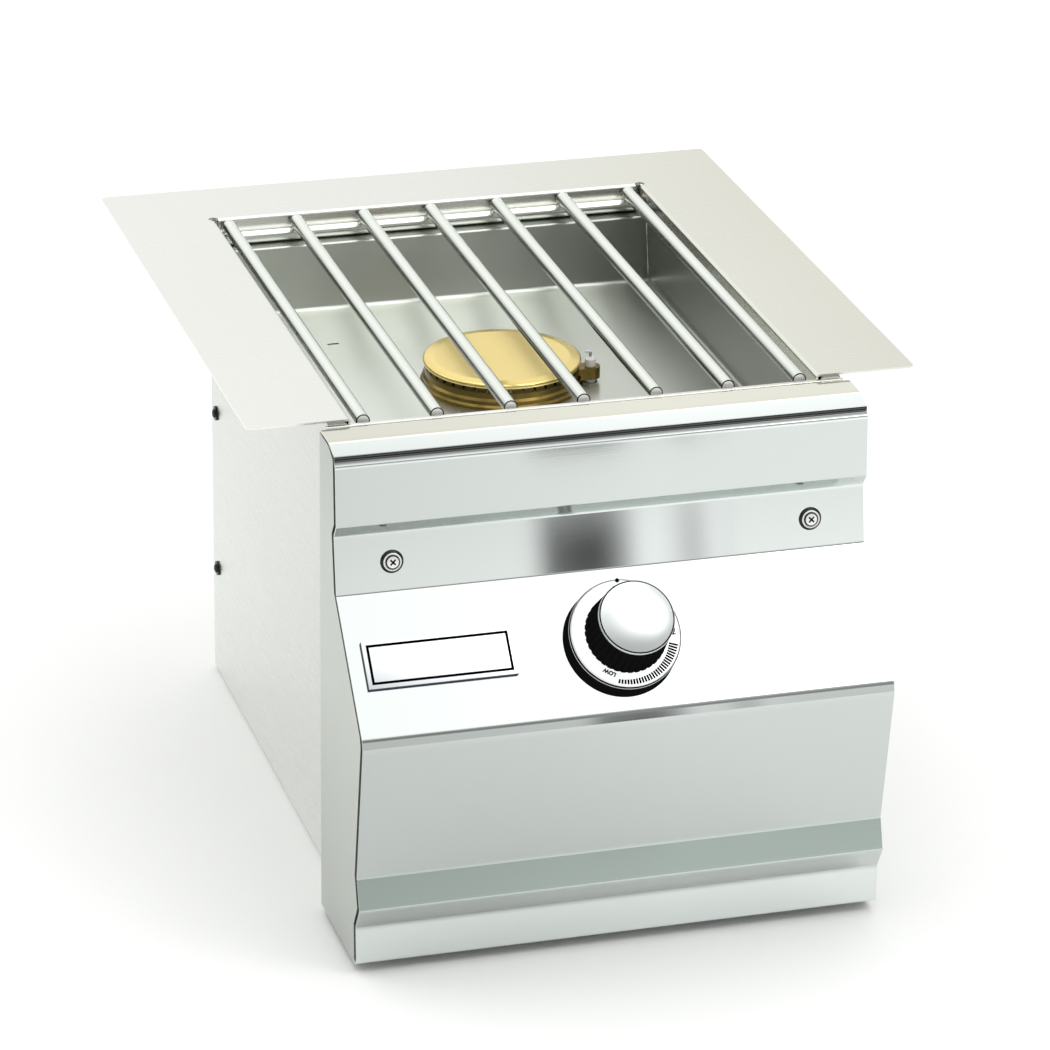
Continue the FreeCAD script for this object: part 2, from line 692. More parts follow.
def deck_frame():
    """The square-edged top plate, open at the front, with a lip rolled down round the opening."""
    body = new_body("deck_frame")
    half, deep, wide = open_half, S.opening_depth, S.deck_width / 2
    slab(body, "XY_Plane", "deck_plate", lambda sketch: outline(sketch, [
        (-wide, 0), (-half, 0), (-half, deep), (half, deep),
        (half, 0), (wide, 0), (wide, S.deck_depth), (-wide, S.deck_depth),
    ]), -S.sheet, 0)
    outer, far = half + S.sheet, deep + S.sheet
    slab(body, "XY_Plane", "deck_lip", lambda sketch: outline(sketch, [
        (-half, 0), (-half, deep), (half, deep), (half, 0),
        (outer, 0), (outer, far), (-outer, far), (-outer, 0),
    ]), -S.lip_drop, -S.sheet)

    def mouth(edge, middle):
        side = near(abs(middle.x), half) and middle.y > 1
        return near(middle.z, 0) and (side or near(middle.y, deep))

    dress(body, "Fillet", mouth, S.lip_radius)
    dress(body, "Fillet", lambda edge, middle: near(abs(middle.x), wide) and near(middle.z, -S.sheet / 2)
          and (near(middle.y, 0) or near(middle.y, S.deck_depth)), S.deck_corner)

    def reliefs(sketch):
        for side in (-1, 1):
            circle(sketch, (half + S.sheet / 2) * side, deep + S.sheet / 2, S.lip_relief)

    hole(body, "XY_Plane", "lip_reliefs", reliefs)
    at_deck(body)


def side_panel(name, side):
    """A cabinet side with its top flange turned out under the deck and its foot turned in."""
    body = new_body(name)
    top, foot = -S.sheet, floor_line
    slab(body, "XZ_Plane", name + "_section", lambda sketch: outline(sketch, [
        (side_in * side, top), ((side_in + S.flange) * side, top),
        ((side_in + S.flange) * side, top - S.sheet), (side_out * side, top - S.sheet),
        (side_out * side, foot), ((side_out - S.flange) * side, foot),
        ((side_out - S.flange) * side, foot + S.sheet), (side_in * side, foot + S.sheet),
    ]), wall_back, back_out)

    def bends(at_x, at_z):
        return lambda edge, middle: near(abs(middle.x), at_x) and near(middle.z, at_z)

    dress(body, "Fillet", lambda edge, middle: bends(side_in, top)(edge, middle)
          or bends(side_out, foot)(edge, middle), S.bend + S.sheet)
    dress(body, "Fillet", lambda edge, middle: bends(side_out, top - S.sheet)(edge, middle)
          or bends(side_in, foot + S.sheet)(edge, middle), S.bend)

    def screw_holes(sketch):
        for height in screw_heights:
            circle(sketch, back_out - S.screw_inset, height, S.screw_shank + S.hole_slack)

    hole(body, "YZ_Plane", name + "_holes", screw_holes)
    at_deck(body)


def back_panel():
    """The back with a flange under the deck, side flanges for the screws and the gas inlet hole."""
    body = new_body("back_panel")
    top, foot = -S.sheet, floor_line + S.sheet + S.bend
    section = [
        (back_in, top), (back_in + S.flange, top), (back_in + S.flange, top - S.sheet),
        (back_out, top - S.sheet), (back_out, foot), (back_in, foot),
    ]
    slab(body, "YZ_Plane", "back_section", lambda sketch: outline(sketch, section), -side_in, side_in)
    flange_top = pan_under - S.rail - S.flange_clear
    for side in (-1, 1):
        low, high = sorted((side_in * side, (side_in - S.sheet) * side), key=float)
        slab(body, "YZ_Plane", "back_flange", lambda sketch: rectangle(
            sketch, back_in - S.side_flange, foot + S.flange_clear, back_in, flange_top), low, high)

    def screw_holes(sketch):
        for height in screw_heights:
            circle(sketch, back_out - S.screw_inset, height, S.screw_shank)

    hole(body, "YZ_Plane", "back_screw_holes", screw_holes)
    hole(body, "XZ_Plane", "inlet_hole", lambda sketch: circle(
        sketch, -S.pipe_side, -S.inlet_drop, S.inlet_shank + S.hole_slack))
    at_deck(body)


def base_panel():
    """The floor of the cabinet, slotted so that leaked gas can fall out."""
    body = new_body("base_panel")
    half = side_in - S.bend - S.seat_gap
    low, high = floor_line + S.sheet, floor_line + S.sheet * 2
    slab(body, "XY_Plane", "base_plate", lambda sketch: rectangle(
        sketch, -half, wall_back, half, back_out), low, high)

    def vents(sketch):
        row_pitch = (back_in - wall_back) / (S.vent_rows + 1)
        for column in (-1, 0, 1):
            middle = (S.vent_length + S.vent_gap) * column
            for row in range(1, int(S.vent_rows.value) + 1):
                back = wall_back + row_pitch * row
                rectangle(sketch, middle - S.vent_length / 2, back - S.vent_width / 2,
                          middle + S.vent_length / 2, back + S.vent_width / 2)

    hole(body, "XY_Plane", "base_vents", vents)

    at_deck(body)


def front_wall():
    """The inner front wall, with holes for the mixer tube, the gas pipe and the igniter wire."""
    body = new_body("front_wall")
    slab(body, "XZ_Plane", "wall_plate", lambda sketch: rectangle(
        sketch, -wall_half, shut_z, wall_half, -S.wall_top), wall_face, wall_back)

    def holes(sketch):
        circle(sketch, 0, tube_z, tube_outer + S.tube_slack)
        circle(sketch, -S.pipe_side, tube_z, S.pipe / 2 + S.pipe_slack)
        circle(sketch, *wire_hole(), S.wire / 2 + S.pipe_slack)

    hole(body, "XZ_Plane", "wall_holes", holes)
    at_deck(body)


def pan_rail(name, side):
    """An angle on a cabinet side that carries the pan's floor."""
    body = new_body(name)
    slab(body, "XZ_Plane", name + "_section", lambda sketch: outline(sketch, [
        (side_in * side, pan_under), ((side_in - S.rail) * side, pan_under),
        ((side_in - S.rail) * side, pan_under - S.sheet), ((side_in - S.sheet) * side, pan_under - S.sheet),
        ((side_in - S.sheet) * side, pan_under - S.rail), (side_in * side, pan_under - S.rail),
    ]), S.pan_front + S.rail_setback, pan_back_floor - S.rail_setback)
    dress(body, "Fillet", lambda edge, middle: near(abs(middle.x), side_in)
          and near(middle.z, pan_under), S.bend + S.sheet)
    dress(body, "Fillet", lambda edge, middle: near(abs(middle.x), side_in - S.sheet)
          and near(middle.z, pan_under - S.sheet), S.bend)
    at_deck(body)


def burner_pan():
    """The folded pan under the grid, with its corners welded and flanges to the front and back."""
    body = new_body("burner_pan")
    slab(body, "YZ_Plane", "pan_block", lambda sketch: outline(sketch, [
        (S.pan_front - S.pan_sheet, pan_rim), (S.pan_front - S.pan_sheet, pan_under),
        (pan_back_floor + S.pan_sheet, pan_under), (pan_back_rim + S.pan_sheet, pan_rim),
    ]), -pan_out, pan_out)
    cut(body, "YZ_Plane", "pan_well", lambda sketch: outline(sketch, [
        (S.pan_front, pan_rim + SPARE), (S.pan_front, pan_floor),
        (pan_back_floor, pan_floor), (pan_back_rim + S.pan_slope / S.pan_depth * SPARE, pan_rim + SPARE),
    ]), -pan_in, pan_in)

    def long_edge(edge):
        return edge.Length > S.pan_depth.value * 2

    dress(body, "Fillet", lambda edge, middle: near(middle.z, pan_floor) and long_edge(edge), S.pan_fold)
    dress(body, "Fillet", lambda edge, middle: near(middle.z, pan_under) and long_edge(edge),
          S.pan_fold + S.pan_sheet)

    def flanges(sketch):
        rectangle(sketch, -pan_out, wall_back + S.seat_gap, pan_out, S.pan_front)
        rectangle(sketch, -pan_out, pan_back_rim, pan_out, S.opening_depth + S.sheet)

    slab(body, "XY_Plane", "pan_flanges", flanges, pan_rim - S.pan_sheet, pan_rim)
    dress(body, "Fillet", lambda edge, middle: near(middle.z, pan_rim) and edge.Length > pan_in.value
          and (near(middle.y, S.pan_front) or near(middle.y, pan_back_rim)), S.pan_roll)

    def holes(sketch):
        circle(sketch, 0, S.burner_back, throat_radius + S.throat_wall + S.hole_slack)
        circle(sketch, S.igniter_side, S.burner_back - S.igniter_ahead, S.ceramic / 2 + S.pipe_slack / 2)
        rectangle(sketch, -S.slot_side - S.slot_length / 2, S.slot_back - S.slot_width / 2,
                  -S.slot_side + S.slot_length / 2, S.slot_back + S.slot_width / 2)
        for across, back in burner_screw_places():
            circle(sketch, across, S.burner_back + back, S.screw_shank + S.hole_slack)

    hole(body, "XY_Plane", "pan_holes", holes)
    at_deck(body)


# Front

def fold_point(name):
    """A fold of the fascia's outer face, as a distance ahead and a distance below."""
    return getattr(F, name + "_ahead"), getattr(F, name + "_below")


def fold_path():
    """The fascia's outer face from its back flange to its toe."""
    spots = [fold_point(name) for name, *rest in FOLDS]
    return [Vector(0, -ahead.value, -below.value) for ahead, below in spots]


def fold_radii():
    return [getattr(F, name + "_radius").value for name, *rest in FOLDS[1:-1]]


def datum():
    return Placement(Vector(0, front_edge.value, S.body_height.value), Rotation())


def band_frame():
    """A point on the band that takes the fascia screws, and the band's normal."""
    tilt = math.radians(band_tilt.value)
    return Vector(0, -band_ahead.value, -S.post_drop.value), Vector(0, -math.sin(tilt), math.cos(tilt))


def cheek_notches():
    """Blocks that shorten the fascia's two flanges, to let the cheeks pass."""
    wide, inner = fascia_half.value, (wall_half - S.reveal).value
    thick = S.sheet + S.bend
    rows = (
        (-F.ledge_back_ahead - thick, -F.flange_end_below - SPARE, -F.ledge_back_below - S.sheet),
        (S.cheek_setback - F.toe_ahead - SPARE, -F.toe_below - SPARE, -F.toe_below + thick),
    )
    blocks = []
    for side in (-1, 1):
        left = min(side * inner, side * (wide + SPARE))
        for front, low, high in rows:
            spot = Vector(left, front.value, low.value)
            blocks.append(Part.makeBox(wide + SPARE - inner, wide, (high - low).value, spot))
    return blocks


def front_fascia():
    """The folded front with its nose, two waists and the leaning control panel."""
    shape = folded_sheet(fold_path(), fold_radii(), S.sheet.value, S.fascia_width.value)
    knob_spot = Vector(0, -knob_ahead.value, -knob_below.value)
    band, normal = band_frame()
    reach = S.knob_gap.value
    screw_hole = (S.screw_shank + S.hole_slack).value

    def drill(radius, spot, axis):
        return Part.makeCylinder(radius, reach * 2, spot - axis * reach, axis)

    tools = cheek_notches() + [drill(S.knob_hole.value / 2, knob_spot, knob_axis)]
    for side in (-1, 1):
        tools.append(drill(screw_hole, knob_spot + Vector(side * S.valve_screw_side.value, 0, 0), knob_axis))
        tools.append(drill(screw_hole, band + Vector(side * S.post_side.value, 0, 0), normal))
    free_shape("front_fascia", shape.cut(Part.makeCompound(tools)), datum())


def cheek(name, side):
    """An end plate behind the end of the fascia, with a flange on the front wall."""
    body = new_body(name)
    low, high = sorted((fascia_half * side, wall_half * side), key=float)
    corners = [(wall_back, -F.ledge_back_below - S.cheek_drop),
               (-F.ledge_front_ahead, -F.ledge_front_below - S.cheek_drop),
               (S.cheek_setback - F.nose_ahead, -F.nose_below - S.cheek_drop)]
    rounds = [F.ledge_front_radius, F.nose_radius]
    for fold in ("shoulder", "brow", "tuck", "panel_top", "panel_foot",
                 "chin", "waist", "lower_brow", "lower_tuck"):
        ahead, below = fold_point(fold)
        corners.append((S.cheek_setback - ahead, -below))
        rounds.append(getattr(F, fold + "_radius"))
    corners += [(S.cheek_setback - F.toe_ahead, shut_z), (wall_back, shut_z)]
    slab(body, "YZ_Plane", name + "_plate", lambda sketch: outline(sketch, corners), low, high)
    for (across, up), radius in zip(corners[1:], rounds):
        dress(body, "Fillet", lambda edge, middle: near(middle.y, across) and near(middle.z, up)
              and near(edge.Length, S.sheet), radius)
    low, high = sorted(((wall_half - S.flange) * side, wall_half * side), key=float)
    slab(body, "XZ_Plane", name + "_flange", lambda sketch: rectangle(
        sketch, low, shut_z, high, -F.flange_end_below - S.flange), wall_face - S.sheet, wall_face)
    at_deck(body)


def hex_prism(across_flats, length, bore, bore_length, placement):
    """A hexagonal bar from a point along an axis, with a round bore from its foot."""
    corners = [Vector(math.cos(math.radians(60 * step)), math.sin(math.radians(60 * step)), 0)
               * (across_flats / math.sqrt(3)) for step in range(7)]
    prism = Part.Face(Part.makePolygon(corners)).extrude(Vector(0, 0, length))
    prism = prism.cut(Part.makeCylinder(bore, bore_length))
    prism.Placement = placement
    return prism


def fascia_posts():
    """Two threaded posts between the front wall and the fascia's screw band."""
    band, normal = band_frame()
    size = S.fascia_width.value
    corner = Vector(-size / 2, wall_face.value, floor_line.value)
    behind = Part.makeBox(size, size, S.body_height.value, corner)
    turn = Rotation(Vector(0, 0, 1), -normal)
    posts = []
    for side in (-1, 1):
        spot = band - normal * S.sheet.value + Vector(side * S.post_side.value, 0, 0)
        post = hex_prism(S.post.value, size / 4, S.screw_shank.value, S.post_thread.value,
                         Placement(spot, turn))
        posts.append(post.cut(behind))
    free_shape("fascia_posts", Part.makeCompound(posts), datum())


def cup_washers():
    """Cupped washers under the heads of the fascia screws."""
    body = new_body("cup_washers")

    def rings(sketch):
        for side in (-1, 1):
            circle(sketch, S.post_side * side, 0, S.washer / 2)
            circle(sketch, S.post_side * side, 0, S.cup_mouth)

    slab(body, "XY_Plane", "washer_rings", rings, 0, S.cup_height)
    dress(body, "Chamfer", lambda edge, middle: near(middle.z, S.cup_height)
          and near(edge.Length, math.pi * S.washer.value), S.cup_bevel)
    at_band(body)


def fascia_screws():
    """Oval-headed screws that sink into the cup washers."""
    body = new_body("fascia_screws")

    def discs(radius):
        return lambda sketch: [circle(sketch, S.post_side * side, 0, radius) for side in (-1, 1)]

    slab(body, "XY_Plane", "screw_heads", discs(S.cup_mouth - S.run_gap), 0, S.screw_head)
    dress(body, "Chamfer", lambda edge, middle: near(middle.z, S.screw_head)
          and edge.Length > S.cup_mouth.value, S.oval_bevel)
    slab(body, "XY_Plane", "screw_shanks", discs(S.screw_shank), SPARE - S.post_thread, 0)
    at_band(body)


def side_screws():
    """Screws with wide flat heads, through the cabinet sides into the back panel."""
    body = new_body("side_screws")
    layers = (
        ("heads", side_out, side_out + S.side_head_height, S.side_head),
        ("shanks", side_out - S.side_shank, side_out, S.screw_shank),
    )
    for side in (-1, 1):
        for name, inner, outer, radius in layers:
            low, high = sorted((inner * side, outer * side), key=float)
            slab(body, "YZ_Plane", "side_" + name, lambda sketch: [
                circle(sketch, back_out - S.screw_inset, height, radius)
                for height in screw_heights], low, high)
    at_deck(body)


# Cooking grid

def grid_rods():
    """Round rods from front to back, their tops level with the deck."""
    body = new_body("grid_rods")
    first = (S.rod_count - 1) / -2

    def ends(sketch):
        for index in range(int(S.rod_count.value)):
            circle(sketch, rod_pitch * (first + index), -S.rod / 2, S.rod / 2)

    slab(body, "XZ_Plane", "rod_ends", ends, S.rod_front, rod_back)
    at_deck(body)


def grid_cross_rods():
    """Two rods under the others, welded to each where they cross."""
    body = new_body("grid_cross_rods")
    reach = open_half - S.rod_edge + S.rod / 2 + S.cross_overhang
    height = S.weld_bite - S.rod * 1.5

    def ends(sketch):
        circle(sketch, S.rod_front + S.cross_front, height, S.rod / 2)
        circle(sketch, rod_back - S.cross_back, height, S.rod / 2)

    slab(body, "YZ_Plane", "cross_ends", ends, -reach, reach)
    at_deck(body)


# Burner

def burner_screw_places():
    """Across and back from the burner axis, for each of its screws."""
    turns = [math.radians(90 + 120 * step) for step in range(3)]
    return [(S.burner_screw_ring * math.cos(turn), S.burner_screw_ring * math.sin(turn)) for turn in turns]


def burner_bowl():
    """The brass bowl with its throat, a step round its side and the igniter's lug."""
    body = new_body("burner_bowl")
    foot = ring_radius + S.bowl_flare
    turned(body, "bowl_profile", [
        (throat_radius, pan_under), (throat_radius + S.throat_wall, pan_under),
        (throat_radius + S.throat_wall, pan_floor), (foot, pan_floor),
        (foot, pan_floor + S.bowl_foot), (foot - S.step_depth, pan_floor + S.bowl_step),
        (foot - S.step_depth, pan_floor + S.bowl_band), (ring_radius, pan_floor + S.bowl_neck),
        (ring_radius, ring_foot), (bowl_inner, ring_foot),
        (bowl_inner, ring_foot - S.port_height - S.seat_gap),
        (bowl_inner - S.bowl_wall, pan_floor + S.bowl_floor), (throat_radius, pan_floor + S.bowl_floor),
    ])
    lug_radius = S.ceramic / 2 + S.lug_wall
    slab(body, "XY_Plane", "lug", lambda sketch: circle(
        sketch, S.igniter_side, -S.igniter_ahead, lug_radius), ring_foot - S.lug_height, ring_foot)
    slab(body, "XY_Plane", "lug_web", lambda sketch: rectangle(
        sketch, bowl_inner, -S.igniter_ahead - S.lug_root, S.igniter_side, S.lug_root - S.igniter_ahead),
        ring_foot - S.lug_height, ring_foot)
    hole(body, "XY_Plane", "lug_hole", lambda sketch: circle(
        sketch, S.igniter_side, -S.igniter_ahead, S.ceramic / 2 + S.run_gap))

    def screw_holes(sketch):
        for across, back in burner_screw_places():
            circle(sketch, across, back, S.screw_shank + S.hole_slack)

    hole(body, "XY_Plane", "bowl_screw_holes", screw_holes)
    at_burner(body)


def burner_head():
    """The ring of ports that sits on the bowl's rim."""
    body = new_body("burner_head")
    inner = ring_radius - S.port_wall
    turned(body, "ring_profile", [
        (ring_radius, ring_foot), (ring_radius, ring_top), (inner, ring_top),
        (inner, ring_foot - S.port_height),
        (bowl_inner - S.run_gap, ring_foot - S.port_height), (bowl_inner - S.run_gap, ring_foot),
    ])
    port = cut(body, "YZ_Plane", "port", lambda sketch: rectangle(
        sketch, -S.port_width / 2, ring_top - S.port_depth, S.port_width / 2, ring_top + SPARE),
        inner - SPARE, ring_radius + SPARE)
    axis_sketch = sketch_on(body, "XY_Plane", "port_axis")
    circle(axis_sketch, 0, 0, 1)
    polar(body, port, axis_sketch, S.port_count)
    at_burner(body)


def burner_cap():
    """The lift-off cap with a rounded rim, a low crown and a centring ring beneath."""
    body = new_body("burner_cap")
    under = ring_top + S.seat_gap
    edge_radius = S.cap_diameter / 2
    spigot = ring_radius - S.port_wall - S.seat_gap
    top = under + S.cap_rim
    turned(body, "cap_profile", [
        (0, under), (spigot - S.cap_spigot, under), (spigot - S.cap_spigot, under - S.cap_spigot),
        (spigot, under - S.cap_spigot), (spigot, under), (edge_radius, under), (edge_radius, top),
        (edge_radius - S.cap_slope, top + S.cap_crown), (0, top + S.cap_crown),
    ])
    around = math.pi * S.cap_diameter.value
    dress(body, "Fillet", lambda edge, middle: near(edge.Length, around), S.cap_round)
    at_burner(body)


def burner_screws():
    """Hexagonal screws that hold the bowl and the tube flange to the pan."""
    body = new_body("burner_screws")
    seat = pan_floor + S.bowl_floor

    places = burner_screw_places()
    slab(body, "XY_Plane", "burner_screw_heads", lambda sketch: [
        hexagon(sketch, across, back, S.screw_flats) for across, back in places], seat, seat + S.screw_head)
    slab(body, "XY_Plane", "burner_screw_shanks", lambda sketch: [
        circle(sketch, across, back, S.screw_shank) for across, back in places], flange_under - SPARE, seat)
    at_burner(body)


def tube_flange():
    """The flange on the mixer tube's upper end, screwed up under the pan."""
    body = new_body("tube_flange")

    def ring(sketch):
        circle(sketch, 0, 0, S.burner_screw_ring + S.flange_edge)
        circle(sketch, 0, 0, tube_outer)
        for across, back in burner_screw_places():
            circle(sketch, across, back, S.screw_shank)

    slab(body, "XY_Plane", "flange_ring", ring, flange_under, pan_under)
    at_burner(body)


def mixer_tube():
    """The bent tube that mixes gas and air, with air windows round its front end."""
    front, back, rise = tube_mouth.value, S.burner_back.value, pan_under.value
    points = [Vector(0, front, tube_z.value), Vector(0, back, tube_z.value), Vector(0, back, rise)]
    tube = tube_along(points, [S.tube_bend.value], tube_outer.value, throat_radius.value)
    tube = tube.cut(window_tools(tube_outer.value + SPARE, throat_radius.value - SPARE))
    free_shape("mixer_tube", tube, datum())


def window_tools(outer, inner):
    """Four wedges round the tube's front end, where its air windows are."""
    length, forward = S.window_length.value, Vector(0, 1, 0)
    ring = Part.makeCylinder(outer, length, Vector(0, 0, 0), forward, S.window_turn.value)
    ring = ring.cut(Part.makeCylinder(inner, length, Vector(0, 0, 0), forward))
    spot = Vector(0, (tube_mouth + S.window_inset).value, tube_z.value)
    tools = []
    for step in range(4):
        tool = ring.copy()
        tool.Placement = Placement(spot, Rotation(forward, 90 * step + S.window_start.value))
        tools.append(tool)
    return Part.makeCompound(tools)


def air_shutter():
    """A sleeve with a front plate that turns on the tube to close its air windows."""
    inner = tube_outer + S.run_gap
    outer = inner + S.tube_wall
    bore_front = tube_mouth - S.seat_gap
    length = (S.window_inset * 2 + S.window_length).value
    forward = Vector(0, 1, 0)
    start = Vector(0, (bore_front - S.tube_wall).value, tube_z.value)
    bore_start = Vector(0, bore_front.value, tube_z.value)
    shape = Part.makeCylinder(outer.value, length, start, forward)
    shape = shape.cut(Part.makeCylinder(inner.value, length, bore_start, forward))
    shape = shape.cut(Part.makeCylinder(S.shutter_mouth.value, length, start, forward))
    shape = shape.cut(window_tools(outer.value + SPARE, inner.value - SPARE))
    free_shape("air_shutter", shape, datum())


# Gas valve

def valve_body():
    """The brass body on the knob axis, with an outlet to the burner and an inlet on its left."""
    top = (S.sheet + S.bonnet_length).value
    spot = Vector(0, -knob_ahead.value, -knob_below.value)
    centre = Vector(0, -valve_ahead.value, tube_z.value)
    boss = S.port_boss.value / 2

    def on_axis(radius, foot, length):
        return Part.makeCylinder(radius.value, length.value, spot - knob_axis * foot, knob_axis)

    shape = on_axis(S.valve_diameter / 2, top + S.valve_length.value, S.valve_length)
    shape = shape.fuse(Part.makeCylinder(boss, S.outlet_reach.value, centre, Vector(0, 1, 0)))
    shape = shape.fuse(Part.makeCylinder(boss, inlet_reach.value, centre, Vector(-1, 0, 0)))
    shape = shape.cut(on_axis(S.chamber, top + S.chamber_depth.value, S.chamber_depth))
    shape = shape.cut(on_axis(S.stem / 2 + S.run_gap, S.stem_depth.value, S.stem_depth))
    free_shape("valve_body", shape.removeSplitter(), datum())


def valve_bonnet():
    """The valve's cover: a plate screwed to the back of the control panel, and a neck."""
    body = new_body("valve_bonnet")
    plate_top = -S.sheet
    neck_foot = plate_top - S.bonnet_length
    slab(body, "XY_Plane", "bonnet_plate_shape", lambda sketch: rectangle(
        sketch, -S.valve_screw_side - S.bonnet_edge, -S.bonnet_half,
        S.piezo_side + S.piezo / 2 + S.piezo_edge, S.bonnet_half), plate_top - S.bonnet_plate, plate_top)
    slab(body, "XY_Plane", "bonnet_neck", lambda sketch: circle(
        sketch, 0, 0, S.chamber + S.bonnet_wall), neck_foot, plate_top - S.bonnet_plate)
    dress(body, "Fillet", lambda edge, middle: near(edge.Length, S.bonnet_plate)
          and edge.Curve.TypeId == "Part::GeomLine", S.bonnet_edge)
    cut(body, "XY_Plane", "bonnet_chamber", lambda sketch: circle(
        sketch, 0, 0, S.chamber), neck_foot, collar_top + S.seat_gap)

    def holes(sketch):
        circle(sketch, 0, 0, S.stem / 2 + S.run_gap)
        for side in (-1, 1):
            circle(sketch, S.valve_screw_side * side, 0, S.screw_shank)

    hole(body, "XY_Plane", "bonnet_holes", holes)
    at_knob(body)


def valve_screws():
    """Two screws through the control panel into the valve's mounting plate, under the knob."""
    body = new_body("valve_screws")
    sides = [S.valve_screw_side * side for side in (-1, 1)]
    slab(body, "XY_Plane", "valve_screw_heads", lambda sketch: [
        hexagon(sketch, across, 0, S.screw_flats) for across in sides], 0, S.screw_head)
    slab(body, "XY_Plane", "valve_screw_shanks", lambda sketch: [
        circle(sketch, across, 0, S.screw_shank) for across in sides],
        -S.sheet - S.bonnet_plate - S.screw_head, 0)
    at_knob(body)


def orifice_spud():
    """The hexagonal gas jet that points into the mixer tube."""
    body = new_body("orifice_spud")
    nose_foot = spud_tip - S.spud_nose
    slab(body, "XY_Plane", "spud_hex", lambda sketch: hexagon(
        sketch, 0, 0, S.spud_flats), spud_foot, nose_foot)
    slab(body, "XY_Plane", "spud_nose", lambda sketch: circle(
        sketch, 0, 0, S.spud_nose), nose_foot, spud_tip)
    dress(body, "Chamfer", lambda edge, middle: near(middle.z, spud_tip), S.spud_bevel)
    hole(body, "XY_Plane", "spud_jet", lambda sketch: circle(sketch, 0, 0, S.jet))
    at_side(body, 0, tube_below)


def piezo_igniter():
    """The push-to-spark igniter beside the valve."""
    body = new_body("piezo_igniter")
    top = -S.sheet - S.bonnet_plate
    foot = top - S.piezo_length
    slab(body, "XY_Plane", "piezo_case", lambda sketch: circle(
        sketch, S.piezo_side, 0, S.piezo / 2), foot, top)
    dress(body, "Chamfer", lambda edge, middle: near(middle.z, foot), S.piezo_bevel)
    slab(body, "XY_Plane", "piezo_terminal", lambda sketch: circle(
        sketch, S.piezo_side, 0, S.wire), foot - S.piezo_terminal, foot)
    at_knob(body)


def electrode_ceramic():
    """The igniter's white insulator, held in the bowl's lug."""
    body = new_body("electrode_ceramic")
    radius, neck = S.ceramic / 2, S.ceramic_neck / 2
    turned(body, "ceramic_profile", [
        (0, ceramic_foot), (neck, ceramic_foot), (neck, pan_under), (radius, pan_under + radius - neck),
        (radius, ceramic_top), (0, ceramic_top),
    ])
    dress(body, "Chamfer", lambda edge, middle: near(middle.z, ceramic_top), S.ceramic_round)
    place(body, S.igniter_side, front_edge + S.burner_back - S.igniter_ahead, S.body_height)


def electrode_tip():
    """The bent spark wire on top of the insulator."""
    inward = Vector(-S.igniter_side.value, S.igniter_ahead.value, 0).normalize()
    foot = Vector(S.igniter_side.value, (S.burner_back - S.igniter_ahead).value, ceramic_top.value)
    bend = foot + Vector(0, 0, S.tip_rise.value)
    points = [foot, bend, bend + inward * S.tip_reach.value]
    free_shape("electrode_tip", tube_along(points, [0], S.tip_radius.value), datum())


def wire_path():
    """The igniter wire's corners, from the piezo igniter to the insulator's foot."""
    case = (S.sheet + S.bonnet_plate + S.piezo_length + S.piezo_terminal).value
    start = Vector(S.piezo_side.value, -knob_ahead.value, -knob_below.value) - knob_axis * case
    end = Vector(S.igniter_side.value, (S.burner_back - S.igniter_ahead).value, ceramic_foot.value)
    return [
        start, start - knob_axis * S.wire_lead.value,
        Vector(start.x + S.wire_side.value, S.wire_dip.value, start.z - S.wire_fall.value),
        Vector(end.x, end.y - S.wire_turn.value, start.z + S.wire_lift.value),
        end - Vector(0, 0, S.wire_drop.value), end,
    ]


def wire_hole():
    """Where the igniter wire passes the front wall: across, and above the deck's top."""
    low, back = wire_path()[1:3]
    spot = low + (back - low) * ((wall_face.value - low.y) / (back.y - low.y))
    return spot.x, spot.z


def even_radii(points):
    """A radius at each inner corner that uses most of its two runs."""
    radii = []
    for before, corner, after in zip(points, points[1:], points[2:]):
        one, two = corner - before, after - corner
        turn = one.getAngle(two)
        radii.append(0.45 * min(one.Length, two.Length) / math.tan(turn / 2))
    return radii


def igniter_wire():
    """The sleeved wire from the piezo igniter to the insulator."""
    points = wire_path()
    free_shape("igniter_wire", tube_along(points, even_radii(points), S.wire.value / 2), datum())


# Gas supply

def pipe_path():
    """The supply pipe's corners, from the valve back to the gas inlet."""
    side, level, ahead = -S.pipe_side.value, tube_z.value, -valve_ahead.value
    start = Vector(-(inlet_reach + S.pipe_nut / 2).value, ahead, level)
    end = (back_in - S.inlet_tail - S.pipe_nut / 2).value
    return [
        start, Vector(side, ahead, level), Vector(side, S.burner_back.value, level),
        Vector(side, end - S.pipe_tail.value, -S.inlet_drop.value), Vector(side, end, -S.inlet_drop.value),
    ]


def supply_pipe():
    """The gas pipe inside the cabinet."""
    bend, sweep = S.pipe_bend.value, S.pipe_sweep.value
    free_shape("supply_pipe", tube_along(pipe_path(), [bend, sweep, bend], S.pipe.value / 2), datum())


def pipe_nuts():
    """Flare nuts at the valve's inlet and at the gas inlet."""
    spots = [
        (Vector(-inlet_reach.value, -valve_ahead.value, tube_z.value), Vector(-1, 0, 0)),
        (Vector(-S.pipe_side.value, (back_in - S.inlet_tail).value, -S.inlet_drop.value), Vector(0, -1, 0)),
    ]
    length = S.pipe_nut.value
    nuts = [hex_prism(S.pipe_nut_flats.value, length, S.pipe.value / 2, length,
                      Placement(spot, Rotation(Vector(0, 0, 1), along))) for spot, along in spots]
    free_shape("pipe_nuts", Part.makeCompound(nuts), datum())


